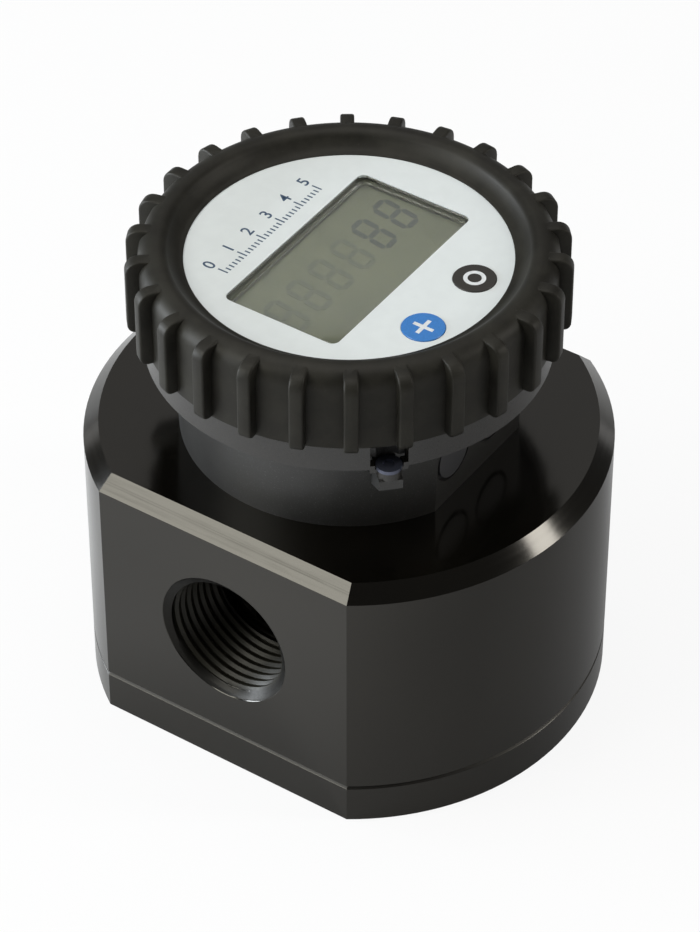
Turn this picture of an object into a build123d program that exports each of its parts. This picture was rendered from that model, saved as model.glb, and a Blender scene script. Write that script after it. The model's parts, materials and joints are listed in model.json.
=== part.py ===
from build123d import *
import os
from bisect import bisect_left
from math import atan2, cos, hypot, pi, radians, sin, sqrt, tan

os.makedirs("parts", exist_ok=True)

# Oval gear flow meter, in millimetres. The origin is the middle of the underside, +Z is up.
# The liquid passes along X, and the display reads along +X with its foot towards -Y.

# Measuring body and end cap
body_wall = 17.95  # from the chamber's ends to the round side
flat_wall = 26.45  # from the chamber's sides to the port flats
cap_height = 10.2
roof_thickness = 15.3  # metal above the chamber
top_chamfer = 3.5
joint_chamfer = 0.5
foot_chamfer = 0.15

# Ports, tapped for the one inch parallel pipe thread
port_rise = 6.0  # port axis above the middle of the chamber
port_tap_diameter = 30.29
port_mouth_diameter = 33.6
port_depth = 19.0
passage_diameter = 22.0
passage_end = 9.0  # where the passage ends inside the chamber, from the middle

# Measuring chamber and oval rotors
centre_distance = 37.0
ovality = 0.2  # of the pitch oval
tooth_count = 22  # 4n + 2, so that a tooth on the long axis meets a gap on the short one
pressure_angle = 25.0
addendum = 1.2
dedendum = 1.5
foot_depth = 0.96  # where the flank ends, below the pitch oval
backlash = 0.24
tip_clearance = 0.15
end_clearance = 0.15
chamber_depth = 44.0
oval_steps = 720  # stations on the pitch oval

# Shafts, bushes, washers and magnets
shaft_diameter = 8.0
shaft_socket = 7.0
socket_clearance = 0.01
bush_clearance = 0.04
bush_wall = 2.5
bush_length = 12.0
washer_diameter = 15.4
washer_recess = 0.85
washer_play = 0.06
relief_clearance = 1.0
magnet_diameter = 5.0
magnet_length = 4.0
magnet_orbit = 13.5

# End cap seal, screws and dowels
seal_land = 3.55  # from the chamber's ends to the middle of the seal
seal_section = 2.6
seal_groove_width = 3.4
cap_screw_inset = 6.5  # from the round side
cap_screw_angles = (40, 90, 140, 220, 270, 320)
cap_screw_diameter = 5.0
cap_screw_length = 20.0
cap_screw_head_diameter = 8.5
cap_screw_head_height = 5.0
cap_screw_key = 4.0
cap_counterbore = 5.6
screw_tip_room = 4.0
dowel_diameter = 5.0
dowel_length = 14.0
dowel_angles = (65, 245)
thread_clearance = 0.05
hole_clearance = 0.25

# Sensor
sensor_diameter = 9.8
sensor_pocket_depth = 10.0
sensor_length = 17.0
sensor_collar_diameter = 16.0
sensor_collar_height = 2.0
lead_diameter = 3.0

# Register base. It is as wide as the battery, the display or the buttons need.
base_draft = 2.2
base_wall = 3.2
base_floor = 3.2
pack_clearance = 1.01  # round the corners of the battery holder
plug_room = 2.6  # from the battery holder to the flat side that carries the conduit plugs
cell_cover = 0.75  # from the cells to the top of the base
rim_overhang = 4.9
rim_height = 2.5
register_screw_inset = 10.8
register_screw_gap = 0.1  # from a screw's head to the flat side's inner wall
register_screw_diameter = 4.0
register_screw_length = 12.0
register_screw_head_diameter = 7.0
register_screw_head_height = 4.0
register_screw_key = 3.0
register_seal_inset = 5.9
register_seal_section = 1.9
post_inset = 5.9
post_diameter = 6.4
post_gap = 0.8  # from the display's frame to the head of a board screw
plug_places = (-10.5, 5.5)
plug_height = 12.3  # above the top face of the body
plug_diameter = 11.4
plug_groove = 0.9
plug_shank_diameter = 10.0
plug_head = 1.6

# Bezel ring and its screws
skirt_clearance = 0.2
skirt_wall = 2.2
skirt_depth = 4.0
band_height = 6.4
band_step = 1.4  # from the band in to the sleeve
sleeve_wall = 3.2
deck_thickness = 2.5
plate_recess_clearance = 0.1
bezel_shoulder = 3.5
bezel_seal_inset = 2.6
bezel_seal_section = 1.4
bezel_screw_reach = 6.7  # outside the base
bezel_screw_angles = (-135, -15, 105)
bezel_screw_diameter = 3.0
bezel_screw_length = 5.0
bezel_screw_head_diameter = 5.8
bezel_screw_head_height = 0.9
bezel_screw_key = 2.5
lug_diameter = 5.6
lug_thickness = 2.0
lug_drop = 2.0  # underside of the lug below the skirt
lug_root = 1.0  # height of the skirt left under the notch above a screw
lug_tab = 1.0  # height of the skirt's tab that carries a lug
notch_diameter = 8.4
ear_width = 5.2
ear_depth = 8.0
ear_tip = 2.4  # height of the ear's outer end
ear_wall = 1.0  # outside the screw

# Rubber boot
boot_wall = 2.0
boot_crown_height = 4.0  # above the face plate
boot_lip_reach = 8.0  # from the sleeve in over the face plate
boot_lip_thickness = 0.4
boot_shoulder = 4.6  # height of the rounded shoulder, which two cones follow
crown_inset = 4.4  # from the boot's wall to the top of its crown
crown_fall = 1.3  # half way down to the lip
fin_count = 26
fin_width = 3.1
fin_depth = 2.95
fin_round = 2.4
fin_foot = 0.5
fin_sink = 0.1  # of the fins' inner ends below the crown

# Face plate, window and display
plate_inset = 4.7
plate_thickness = 1.6
plate_rise = 18.7  # top of the face plate above the base
window_length = 53.6
window_width = 29.2
window_round = 1.8
window_place = (-0.75, -0.4)
lens_margin = 0.9
lens_thickness = 1.7  # of its flange, below the face plate
lens_play = 0.08  # round the raised middle, which fills the window
lens_sink = 0.05  # of the raised middle below the face plate's top
lens_seal_width = 2.2
lens_seal_round = 1.0
display_margin = 3.4
display_thickness = 2.1
frame_wall = 1.5
frame_clearance = 0.1
frame_depth = 3.6
strip_width = 2.4

# Circuit board and what it carries
board_inset = 3.8  # from the outside of the base
board_thickness = 1.6
board_gap = 2.9  # from the board to the display panel
board_screw_diameter = 2.9
board_screw_length = 8.0
board_screw_head_diameter = 5.4
board_screw_head_height = 1.8
chip_sizes = (((-14, 8), (12, 12, 1.4)), ((12, 12), (8, 6, 1.6)), ((13, -10), (10, 4, 1.4)))
terminal_inset = 11.3
terminal_length = 22.0
terminal_width = 8.0
terminal_height = 7.0
terminal_count = 4
terminal_hole_diameter = 3.2
terminal_hole_depth = 1.2

# Buttons
button_places = (-11.9, 8.3)
button_drop = 12.2  # from the window's edge to the middle of the buttons
button_diameter = 9.6
button_clearance = 0.1
button_proud = 0.2
button_flange = 1.3
button_flange_thickness = 0.65
button_play = 0.15  # between the flange and the deck above it
button_travel = 0.5
button_lip_gap = 0.6  # from a button to the boot's lip
switch_size = 6.0
switch_plunger_diameter = 3.2
switch_plunger_height = 0.8
switch_play = 0.05

# Batteries
cell_diameter = 14.5
cell_length = 50.5
cell_gap = 4.5
holder_end = 1.65  # wall outside the contacts
holder_side = 1.95  # wall outside the cells
holder_web = 2.05  # floor under the cells
holder_lip = 1.7  # wall above the cells' axis
holder_bridge = 4.0  # at each end of the gap between the cells
holder_foot = 6.0
cell_clearance = 0.1
contact_width = 8.0
contact_thickness = 1.6

# Body, chamber and rotor sizes that follow
half_centre = centre_distance / 2
chamber_radius = half_centre * (1 + ovality) + addendum + tip_clearance
chamber_reach = half_centre + chamber_radius
chamber_roof = cap_height + chamber_depth
body_radius = chamber_reach + body_wall
body_diameter = 2 * body_radius
flat_x = chamber_radius + flat_wall
flat_gap = 2 * flat_x
body_height = chamber_depth + roof_thickness
body_top = cap_height + body_height
port_height = cap_height + chamber_depth / 2 + port_rise
seal_radius = chamber_reach + seal_land
cap_screw_circle = body_radius - cap_screw_inset
shaft_radius = shaft_diameter / 2
bush_bore = shaft_radius + bush_clearance
bush_radius = bush_bore + bush_wall
rotor_floor = cap_height + end_clearance
rotor_length = chamber_depth - 2 * end_clearance
washer_thickness = end_clearance + washer_recess - washer_play
sensor_y = magnet_orbit - half_centre

# Register sizes that follow: what the battery, the display and the buttons each need
cell_spacing = cell_diameter + cell_gap
holder_width = cell_spacing + cell_diameter + 2 * holder_side
holder_length = cell_length + 2 * contact_thickness + 2 * holder_end
holder_height = holder_web + cell_diameter / 2 + holder_lip
display_length = window_length + 2 * display_margin
display_width = window_width + 2 * display_margin
frame_reach_x = display_length / 2 + frame_clearance + frame_wall + abs(window_place[0])
frame_reach_y = display_width / 2 + frame_clearance + frame_wall + abs(window_place[1])
button_row = window_place[1] - window_width / 2 - button_drop
button_reach = max(hypot(x, button_row) for x in button_places) + button_diameter / 2 + button_lip_gap
sleeve_reach = rim_overhang + skirt_clearance + skirt_wall - band_step  # of the sleeve outside the base
battery_need = hypot(holder_width / 2, holder_length / 2) + pack_clearance + base_wall
display_need = hypot(frame_reach_x, frame_reach_y) + sleeve_wall + frame_clearance - sleeve_reach
button_need = button_reach + boot_lip_reach - sleeve_reach
base_radius = max(battery_need, display_need, button_need)
rim_radius = base_radius + rim_overhang
skirt_inner = rim_radius + skirt_clearance
band_radius = skirt_inner + skirt_wall
sleeve_radius = band_radius - band_step
boot_radius = sleeve_radius + boot_wall
plate_radius = sleeve_radius - plate_inset
board_radius = base_radius - board_inset
bezel_screw_circle = base_radius + bezel_screw_reach
bezel_seal_radius = rim_radius - bezel_seal_inset
register_seal_radius = base_radius - register_seal_inset
register_screw_circle = base_radius - register_screw_inset
screw_need = register_screw_circle + register_screw_head_diameter / 2 + register_screw_gap
facet_offset = max(holder_length / 2 + plug_room, screw_need) + base_wall

# Register levels that follow
base_inner_floor = body_top + base_floor
holder_floor = base_inner_floor + holder_foot
cell_level = holder_floor + holder_web + cell_diameter / 2
base_top = cell_level + cell_diameter / 2 + cell_cover
base_height = base_top - body_top
rim_floor = base_top - rim_height
plug_level = body_top + plug_height
band_floor = base_top - skirt_depth
band_top = band_floor + band_height
plate_level = base_top + plate_rise
plate_floor = plate_level - plate_thickness
deck_floor = plate_floor - deck_thickness
lug_floor = band_floor - lug_drop
screw_seat = lug_floor + lug_thickness
display_floor = deck_floor - display_thickness
board_top = display_floor - board_gap
board_floor = board_top - board_thickness
crown_top = plate_level + boot_crown_height


def around(radius, angle):
    """Point on a circle round the meter's axis."""
    return (radius * cos(radians(angle)), radius * sin(radians(angle)))


def upward(point, level):
    """Plane that faces up at a point of the plan."""
    return Plane(origin=(point[0], point[1], level), z_dir=(0, 0, 1))


def downward(point, level):
    """Plane that faces down at a point of the plan."""
    return Plane(origin=(point[0], point[1], level), z_dir=(0, 0, -1))


def radial_plane(angle):
    """Upright plane through the axis: its X runs outwards at the angle and its Y runs up."""
    a = radians(angle)
    return Plane(origin=(0, 0, 0), x_dir=(cos(a), sin(a), 0), z_dir=(sin(a), -cos(a), 0))


def body_outline():
    """Round outline with the two port flats, drawn in the open sketch."""
    Circle(body_radius)
    Rectangle(flat_gap, body_diameter, mode=Mode.INTERSECT)


def ring_outline(radius, width):
    """Flat ring about a radius, drawn in the open sketch."""
    Circle(radius + width / 2)
    Circle(radius - width / 2, mode=Mode.SUBTRACT)


def socket_screw(diameter, length, head_diameter, head_height, key):
    """Socket head screw whose head sits on the XY plane and whose shank runs down from it."""
    with BuildPart() as screw:
        with BuildSketch():
            Circle(head_diameter / 2)
        extrude(amount=head_height)
        with BuildSketch():
            Circle(diameter / 2)
        extrude(amount=-length)
        with BuildSketch(Plane.XY.offset(head_height)):
            RegularPolygon(key / 2, 6, major_radius=False)
        extrude(amount=-head_height / 2, mode=Mode.SUBTRACT)
    return screw.part


def write(piece, name):
    """Labels a finished piece and writes its file."""
    piece.part.label = name
    export_step(piece.part, f"parts/{name}.step")


# Pitch oval of a rotor and the arc length along it. Two equal ovals a quarter turn apart roll on
# each other at a fixed centre distance when the radius is K / (1 - ovality * cos(2 * angle)).
oval_constant = half_centre * (1 - ovality**2)


def oval_radius(angle):
    """Pitch radius at an angle from the long axis."""
    return oval_constant / (1 - ovality * cos(2 * angle))


oval_angles = [2 * pi * i / oval_steps for i in range(oval_steps + 1)]
oval_points = [(oval_radius(a) * cos(a), oval_radius(a) * sin(a)) for a in oval_angles]
oval_lengths = [0.0]
for start, end in zip(oval_points, oval_points[1:]):
    oval_lengths.append(oval_lengths[-1] + hypot(end[0] - start[0], end[1] - start[1]))
perimeter = oval_lengths[-1]
tooth_pitch = perimeter / tooth_count
tooth_width = tooth_pitch / 2 - backlash / 2


def oval_frame(length):
    """Point on the pitch oval at an arc length, with the unit tangent and outward normal there."""
    length = length % perimeter
    i = max(1, bisect_left(oval_lengths, length))
    share = (length - oval_lengths[i - 1]) / (oval_lengths[i] - oval_lengths[i - 1])
    angle = 2 * pi * (i - 1 + share) / oval_steps
    radius = oval_radius(angle)
    slope = -radius * 2 * ovality * sin(2 * angle) / (1 - ovality * cos(2 * angle))
    along = Vector(slope * cos(angle) - radius * sin(angle), slope * sin(angle) + radius * cos(angle))
    along = along.normalized()
    return Vector(radius * cos(angle), radius * sin(angle)), along, Vector(along.Y, -along.X)


def flank_point(start, side, rise):
    """Where a rolling rack touches the flank, at a rise above the rack's pitch line."""
    slant = radians(pressure_angle)
    lead = side * rise / (sin(slant) * cos(slant))
    point, along, outward = oval_frame(start - lead)
    return point + (along * cos(slant) + outward * (side * sin(slant))) * (lead * cos(slant))


def flank_height(point):
    """Height of a point above the pitch oval, measured square to it."""
    near = min(hypot(point.X - x, point.Y - y) for x, y in oval_points)
    return near if point.length > oval_radius(atan2(point.Y, point.X)) else -near


def flank_rise(start, side, height):
    """Rise of the rack that puts the flank point at a height above the pitch oval."""
    low, high = 0.0, 1.7 * height
    for _ in range(12):
        middle = (low + high) / 2
        reached = abs(flank_height(flank_point(start, side, middle))) >= abs(height)
        low, high = (low, middle) if reached else (middle, high)
    return (low + high) / 2


def flank(middle, side):
    """Root corner, foot, middle and tip of one flank of the tooth at an arc length."""
    start = middle + side * tooth_width / 2
    tip_rise = flank_rise(start, side, addendum)
    foot_rise = flank_rise(start, side, -foot_depth)
    foot, half, tip = (
        flank_point(start, side, rise) for rise in (foot_rise, (foot_rise + tip_rise) / 2, tip_rise)
    )
    outward = oval_frame(start)[2]
    root = foot - outward * (dedendum + flank_height(foot))
    return root, foot, half, tip


def rotor_outline():
    """Toothed outline of a rotor with its long axis along X, drawn in the open line."""
    flanks = [(flank(i * tooth_pitch, -1), flank(i * tooth_pitch, 1)) for i in range(tooth_count)]
    for i, (near, far) in enumerate(flanks):
        Line(near[0], near[1])
        ThreePointArc(near[1], near[2], near[3])
        Line(near[3], far[3])
        ThreePointArc(far[3], far[2], far[1])
        Line(far[1], far[0])
        Line(far[0], flanks[(i + 1) % tooth_count][0][0])


def oval_rotor(centre, turn):
    """Rotor round a shaft at the centre: toothed oval, bush seats, relief and washer recesses."""
    with BuildPart() as rotor:
        with BuildSketch(Plane(origin=(0, centre, rotor_floor)).rotated((0, 0, turn))):
            with BuildLine():
                rotor_outline()
            make_face()
        extrude(amount=rotor_length)
        ends = [downward((0, centre), rotor_floor), upward((0, centre), rotor_floor + rotor_length)]
        with Locations(ends[1]):
            Hole(shaft_radius + relief_clearance, depth=rotor_length)
        with Locations(*ends):
            CounterBoreHole(
                bush_radius,
                washer_diameter / 2 + hole_clearance,
                washer_recess,
                washer_recess + bush_length,
            )
    return rotor.part


# Measuring body
shaft_places = [(0, -half_centre), (0, half_centre)]
cap_screw_places = [around(cap_screw_circle, a) for a in cap_screw_angles]
dowel_places = [around(cap_screw_circle, a) for a in dowel_angles]
register_screw_places = [around(register_screw_circle, a) for a in (0, 90, 180, 270)]
cap_screw_depth = cap_counterbore + cap_screw_length - cap_height + screw_tip_room
port_planes = [Plane(origin=(s * flat_x, 0, port_height), z_dir=(s, 0, 0)) for s in (-1, 1)]

with BuildPart() as meter_body:
    with BuildSketch(Plane.XY.offset(cap_height)):
        body_outline()
    extrude(amount=body_height)
    chamfer(meter_body.faces().sort_by(Axis.Z)[-1].edges(), top_chamfer)
    chamfer(meter_body.faces().sort_by(Axis.Z)[0].edges(), joint_chamfer)
    with BuildSketch(Plane.XY.offset(cap_height)):
        with Locations(*shaft_places):
            Circle(chamber_radius)
    extrude(amount=chamber_depth, mode=Mode.SUBTRACT)
    with Locations(*port_planes):
        CounterSinkHole(port_tap_diameter / 2, port_mouth_diameter / 2, port_depth, 90)
    with Locations(*port_planes):
        Hole(passage_diameter / 2, depth=flat_x - passage_end)
    with Locations(*[downward(p, chamber_roof) for p in shaft_places]):
        Hole(shaft_radius + socket_clearance, depth=shaft_socket)
    with Locations(*[downward(p, cap_height) for p in cap_screw_places]):
        Hole(cap_screw_diameter / 2 + thread_clearance, depth=cap_screw_depth)
    with Locations(*[downward(p, cap_height) for p in dowel_places]):
        Hole(dowel_diameter / 2 + socket_clearance, depth=dowel_length / 2)
    with Locations(upward((0, sensor_y), body_top)):
        Hole(sensor_diameter / 2 + thread_clearance, depth=sensor_pocket_depth)
    with Locations(*[upward(p, body_top) for p in register_screw_places]):
        Hole(register_screw_diameter / 2 + thread_clearance, depth=register_screw_length)
write(meter_body, "meter_body")

# End cap
cap_screw_seats = [downward(p, cap_counterbore) for p in cap_screw_places]

with BuildPart() as end_cap:
    with BuildSketch():
        body_outline()
    extrude(amount=cap_height)
    chamfer(end_cap.faces().sort_by(Axis.Z)[-1].edges(), joint_chamfer)
    chamfer(end_cap.faces().sort_by(Axis.Z)[0].edges(), foot_chamfer)
    with BuildSketch(Plane.XY.offset(cap_height)):
        ring_outline(seal_radius, seal_groove_width)
    extrude(amount=-seal_section, mode=Mode.SUBTRACT)
    with Locations(*[downward(p, 0) for p in cap_screw_places]):
        CounterBoreHole(
            cap_screw_diameter / 2 + hole_clearance, cap_screw_head_diameter / 2 + hole_clearance, cap_counterbore
        )
    with Locations(*[upward(p, cap_height) for p in shaft_places]):
        Hole(shaft_radius + socket_clearance, depth=shaft_socket)
    with Locations(*[upward(p, cap_height) for p in dowel_places]):
        Hole(dowel_diameter / 2 + socket_clearance, depth=dowel_length / 2)
write(end_cap, "end_cap")

with BuildPart() as cap_seal:
    with BuildSketch(Plane.XY.offset(cap_height)):
        ring_outline(seal_radius, seal_section)
    extrude(amount=-seal_section)
write(cap_seal, "cap_seal")

cap_screw = socket_screw(
    cap_screw_diameter, cap_screw_length, cap_screw_head_diameter, cap_screw_head_height, cap_screw_key
)
with BuildPart() as cap_screws:
    for seat in cap_screw_seats:
        add(seat.location * cap_screw)
write(cap_screws, "cap_screws")

with BuildPart() as cap_dowels:
    with BuildSketch(Plane.XY.offset(cap_height - dowel_length / 2)):
        with Locations(*dowel_places):
            Circle(dowel_diameter / 2)
    extrude(amount=dowel_length)
write(cap_dowels, "cap_dowels")

# Shafts, fixed in the cap and in the roof of the chamber
for place, letter in zip(shaft_places, "ab"):
    with BuildPart() as rotor_shaft:
        with BuildSketch(Plane.XY.offset(cap_height - shaft_socket)):
            with Locations(place):
                Circle(shaft_radius)
        extrude(amount=chamber_depth + 2 * shaft_socket)
        chamfer(rotor_shaft.edges().filter_by(GeomType.CIRCLE), joint_chamfer)
    write(rotor_shaft, f"rotor_shaft_{letter}")

# Rotors. The first has its long axis on the line of centres and carries the magnets.
magnet_places = [(0, -half_centre - magnet_orbit), (0, -half_centre + magnet_orbit)]
rotor_roof = rotor_floor + rotor_length

with BuildPart() as rotor_a:
    add(oval_rotor(-half_centre, 90))
    with Locations(*[upward(p, rotor_roof) for p in magnet_places]):
        Hole(magnet_diameter / 2 + socket_clearance, depth=magnet_length)
write(rotor_a, "rotor_a")

with BuildPart() as rotor_b:
    add(oval_rotor(half_centre, 0))
write(rotor_b, "rotor_b")

with BuildPart() as rotor_magnets:
    with BuildSketch(Plane.XY.offset(rotor_roof - magnet_length)):
        with Locations(*magnet_places):
            Circle(magnet_diameter / 2)
    extrude(amount=magnet_length)
write(rotor_magnets, "rotor_magnets")

bush_levels = (rotor_floor + washer_recess, rotor_roof - washer_recess - bush_length)
for place, letter in zip(shaft_places, "ab"):
    with BuildPart() as rotor_bushes:
        for level in bush_levels:
            with BuildSketch(Plane.XY.offset(level)):
                with Locations(place):
                    Circle(bush_radius)
                    Circle(bush_bore, mode=Mode.SUBTRACT)
            extrude(amount=bush_length)
    write(rotor_bushes, f"rotor_bushes_{letter}")

with BuildPart() as thrust_washers:
    for level in (cap_height, chamber_roof - washer_thickness):
        with BuildSketch(Plane.XY.offset(level)):
            with Locations(*shaft_places):
                Circle(washer_diameter / 2)
                Circle(shaft_radius + 2 * bush_clearance, mode=Mode.SUBTRACT)
        extrude(amount=washer_thickness)
write(thrust_washers, "thrust_washers")

# Sensor capsule in its blind pocket above the magnets, and its lead up to the circuit board
sensor_floor = body_top - sensor_pocket_depth
sensor_top = sensor_floor + sensor_length
with BuildPart() as sensor_capsule:
    with BuildSketch(upward((0, sensor_y), sensor_floor)):
        Circle(sensor_diameter / 2)
    extrude(amount=sensor_length)
    with BuildSketch(upward((0, sensor_y), base_inner_floor)):
        Circle(sensor_collar_diameter / 2)
    extrude(amount=sensor_collar_height)
write(sensor_capsule, "sensor_capsule")

with BuildPart() as sensor_lead:
    with BuildSketch(upward((0, sensor_y), sensor_top)):
        Circle(lead_diameter / 2)
    extrude(amount=board_floor - sensor_top)
write(sensor_lead, "sensor_lead")

# Register base: drafted moulding with a flat side, a rim, posts and three screw ears
inner_radius = base_radius - base_wall
inner_facet = facet_offset - base_wall
post_y = frame_reach_y + post_gap + board_screw_head_diameter / 2
post_x = sqrt((base_radius - post_inset) ** 2 - post_y**2)
post_places = [(x, y) for x in (-post_x, post_x) for y in (-post_y, post_y)]
ear_root = base_radius - base_wall / 2
ear_reach = bezel_screw_circle + bezel_screw_diameter / 2 + ear_wall
bezel_screw_places = [around(bezel_screw_circle, a) for a in bezel_screw_angles]
plug_planes = [Plane(origin=(x, -facet_offset, plug_level), z_dir=(0, -1, 0)) for x in plug_places]
facet_lean = plug_height * tan(radians(base_draft))  # how far the drafted facet stands out there
plug_seat = facet_lean - plug_head


def cut_facet(offset):
    """Cuts the flat side off the open sketch."""
    with Locations((0, -offset - base_radius)):
        Rectangle(2 * body_diameter, 2 * base_radius, mode=Mode.SUBTRACT)


with BuildPart() as register_base:
    with BuildSketch(Plane.XY.offset(body_top)):
        Circle(base_radius)
        cut_facet(facet_offset)
    extrude(amount=rim_floor - body_top, taper=-base_draft)
    with BuildSketch(Plane.XY.offset(rim_floor)):
        Circle(rim_radius)
    extrude(amount=rim_height)
    for angle in bezel_screw_angles:
        with BuildSketch(radial_plane(angle)):
            with BuildLine():
                Polyline(
                    (ear_root, lug_floor),
                    (ear_reach, lug_floor),
                    (ear_reach, lug_floor - ear_tip),
                    (base_radius, lug_floor - ear_depth),
                    (ear_root, lug_floor - ear_depth),
                    close=True,
                )
            make_face()
        extrude(amount=ear_width / 2, both=True)
    with BuildSketch(Plane.XY.offset(base_inner_floor)):
        Circle(inner_radius)
        cut_facet(inner_facet)
    extrude(amount=base_height, mode=Mode.SUBTRACT)
    with BuildSketch(Plane.XY.offset(base_inner_floor)):
        with Locations(*post_places):
            Circle(post_diameter / 2)
    extrude(amount=board_floor - base_inner_floor)
    with BuildSketch(Plane.XY.offset(base_inner_floor)):
        with GridLocations(holder_width - post_diameter, holder_length - 4 * post_diameter, 2, 2):
            Circle(post_diameter / 2)
    extrude(amount=holder_foot)
    with Locations(*[upward(p, board_floor) for p in post_places]):
        Hole(board_screw_diameter / 2 + thread_clearance, depth=board_screw_length)
    with Locations(*[upward(p, base_inner_floor) for p in register_screw_places]):
        Hole(register_screw_diameter / 2 + hole_clearance, depth=base_floor)
    with Locations(upward((0, sensor_y), base_inner_floor)):
        Hole(sensor_diameter / 2 + hole_clearance, depth=base_floor)
    with BuildSketch(Plane.XY.offset(body_top)):
        ring_outline(register_seal_radius, register_seal_section + 2 * hole_clearance)
    extrude(amount=register_seal_section, mode=Mode.SUBTRACT)
    with BuildSketch(Plane.XY.offset(base_top)):
        ring_outline(bezel_seal_radius, bezel_seal_section + hole_clearance)
    extrude(amount=-bezel_seal_section, mode=Mode.SUBTRACT)
    with BuildSketch(Plane.XY.offset(lug_floor)):
        with Locations(*bezel_screw_places):
            Circle(bezel_screw_head_diameter / 2 + hole_clearance)
    extrude(amount=base_top - lug_floor, mode=Mode.SUBTRACT)
    with Locations(*[upward(p, lug_floor) for p in bezel_screw_places]):
        Hole(bezel_screw_diameter / 2 + thread_clearance, depth=bezel_screw_length - lug_thickness)
    with Locations(*[p.offset(facet_lean) for p in plug_planes]):
        CounterBoreHole(
            plug_shank_diameter / 2 + thread_clearance,
            plug_diameter / 2 + plug_groove,
            plug_head,
            facet_lean + 2 * base_wall,
        )
write(register_base, "register_base")

with BuildPart() as register_seal:
    with BuildSketch(Plane.XY.offset(body_top)):
        ring_outline(register_seal_radius, register_seal_section)
    extrude(amount=register_seal_section)
write(register_seal, "register_seal")

register_screw = socket_screw(
    register_screw_diameter,
    register_screw_length,
    register_screw_head_diameter,
    register_screw_head_height,
    register_screw_key,
)
with BuildPart() as register_screws:
    for place in register_screw_places:
        add(upward(place, base_inner_floor).location * register_screw)
write(register_screws, "register_screws")

with BuildPart() as conduit_plugs:
    for plane in plug_planes:
        with BuildSketch(plane.offset(plug_seat)):
            Circle(plug_diameter / 2)
        extrude(amount=plug_head)
        with BuildSketch(plane.offset(plug_seat)):
            Circle(plug_shank_diameter / 2)
        extrude(amount=-base_wall)
write(conduit_plugs, "conduit_plugs")

# Bezel ring: skirt, band, sleeve under the boot, deck that carries the face plate, and three lugs
lug_inner = base_radius + base_height * tan(radians(base_draft)) + hole_clearance
head_room = bezel_screw_head_diameter / 2 + hole_clearance
shoulder_radius = rim_radius - bezel_shoulder
lens_length = window_length + 2 * lens_margin
lens_width = window_width + 2 * lens_margin
button_points = [(x, button_row) for x in button_places]


def window_outline(length, width, corner, mode=Mode.ADD):
    """Rounded rectangle over the display, in the open sketch."""
    with Locations(window_place):
        RectangleRounded(length, width, corner, mode=mode)


with BuildPart() as bezel_ring:
    with BuildSketch(Plane.XZ):
        with BuildLine():
            Polyline(
                (0, plate_floor),
                (plate_radius + plate_recess_clearance, plate_floor),
                (plate_radius + plate_recess_clearance, plate_level),
                (sleeve_radius, plate_level),
                (sleeve_radius, band_top),
                (band_radius, band_top),
                (band_radius, band_floor),
                (skirt_inner, band_floor),
                (skirt_inner, base_top),
                (shoulder_radius, base_top),
                (shoulder_radius, band_top),
                (sleeve_radius - sleeve_wall, band_top),
                (sleeve_radius - sleeve_wall, deck_floor),
                (0, deck_floor),
                close=True,
            )
        make_face()
    revolve(axis=Axis.Z)
    with BuildSketch(Plane.XY.offset(lug_floor)):
        with Locations(*bezel_screw_places):
            Circle(lug_diameter / 2)
        Circle(lug_inner, mode=Mode.SUBTRACT)
    extrude(amount=lug_drop + lug_root)
    with BuildSketch(Plane.XY.offset(band_floor - lug_tab)):
        with Locations(*bezel_screw_places):
            Circle(notch_diameter / 2)
        Circle(band_radius, mode=Mode.INTERSECT)
        Circle(skirt_inner, mode=Mode.SUBTRACT)
    extrude(amount=lug_tab + lug_root)
    with BuildSketch(Plane.XY.offset(screw_seat)):
        with Locations(*bezel_screw_places):
            Circle(head_room)
    extrude(amount=band_top - screw_seat, mode=Mode.SUBTRACT)
    with BuildSketch(Plane.XY.offset(band_floor + lug_root)):
        with Locations(*bezel_screw_places):
            Circle(notch_diameter / 2)
        Circle(bezel_screw_circle - head_room, mode=Mode.SUBTRACT)
    extrude(amount=band_height - lug_root, mode=Mode.SUBTRACT)
    with Locations(*[upward(p, screw_seat) for p in bezel_screw_places]):
        Hole(bezel_screw_diameter / 2 + thread_clearance, depth=lug_thickness)
    with BuildSketch(Plane.XY.offset(deck_floor)):
        window_outline(lens_length + 2 * socket_clearance, lens_width + 2 * socket_clearance, window_round)
        with Locations(*button_points):
            Circle(button_diameter / 2 + button_clearance)
    extrude(amount=deck_thickness, mode=Mode.SUBTRACT)
write(bezel_ring, "bezel_ring")

with BuildPart() as bezel_seal:
    with BuildSketch(Plane.XY.offset(base_top)):
        ring_outline(bezel_seal_radius, bezel_seal_section)
    extrude(amount=-bezel_seal_section)
write(bezel_seal, "bezel_seal")

bezel_screw = socket_screw(
    bezel_screw_diameter,
    bezel_screw_length,
    bezel_screw_head_diameter,
    bezel_screw_head_height,
    bezel_screw_key,
)
with BuildPart() as bezel_screws:
    for place in bezel_screw_places:
        add(upward(place, screw_seat).location * bezel_screw)
write(bezel_screws, "bezel_screws")

# Rubber boot: turned wall and crown with a lip over the face plate, and the grip fins
crown_radius = boot_radius - crown_inset
lip_radius = sleeve_radius - boot_lip_reach
fin_root = boot_radius - boot_wall / 2
fin_reach = boot_radius + fin_depth
fin_angles = [90 + 360 * i / fin_count for i in range(fin_count)]
shoulder_facet = boot_shoulder * (1 - cos(pi / 4))

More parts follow.
